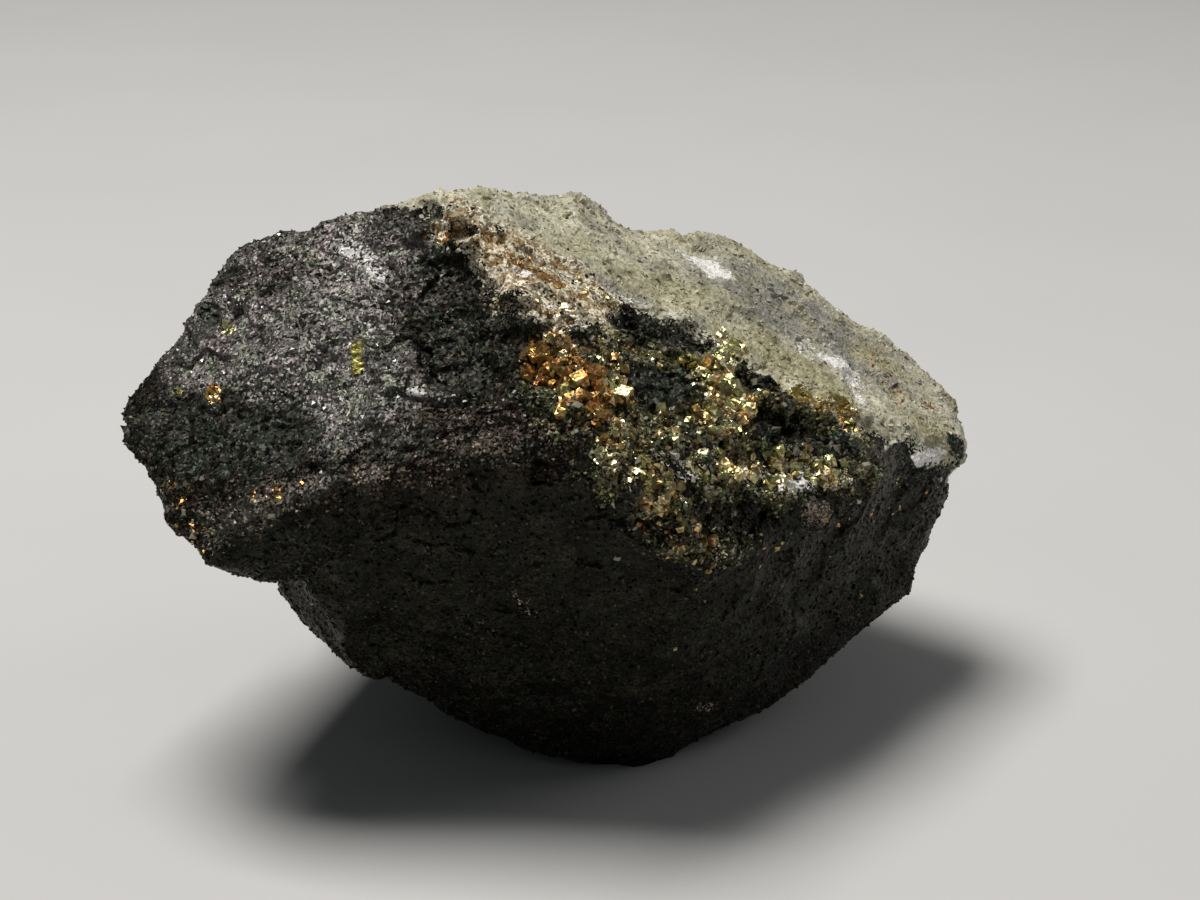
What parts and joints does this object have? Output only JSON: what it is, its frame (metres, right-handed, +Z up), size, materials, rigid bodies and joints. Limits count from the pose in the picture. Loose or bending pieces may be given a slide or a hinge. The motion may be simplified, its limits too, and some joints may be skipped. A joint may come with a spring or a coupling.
{
  "type": "pyrite and magnetite mineral specimen",
  "caption": "Rough broken lump of dark granular magnetite and pale matrix with a vein of brassy pyrite crystals, resting on a flat base.",
  "frame": {"origin": "middle of the bounding box, on the table the stone rests on", "axes": "+X along the stone's length towards the end with the pyrite vein, -Y towards the front face, +Z up"},
  "size_m": [0.0607, 0.0433, 0.0413],
  "materials": {
    "rock": "granular dark magnetite with pale matrix on top and brassy pyrite along a vein"
  },
  "bodies": {
    "root": {"rock": "rock"}
  },
  "joints": []
}
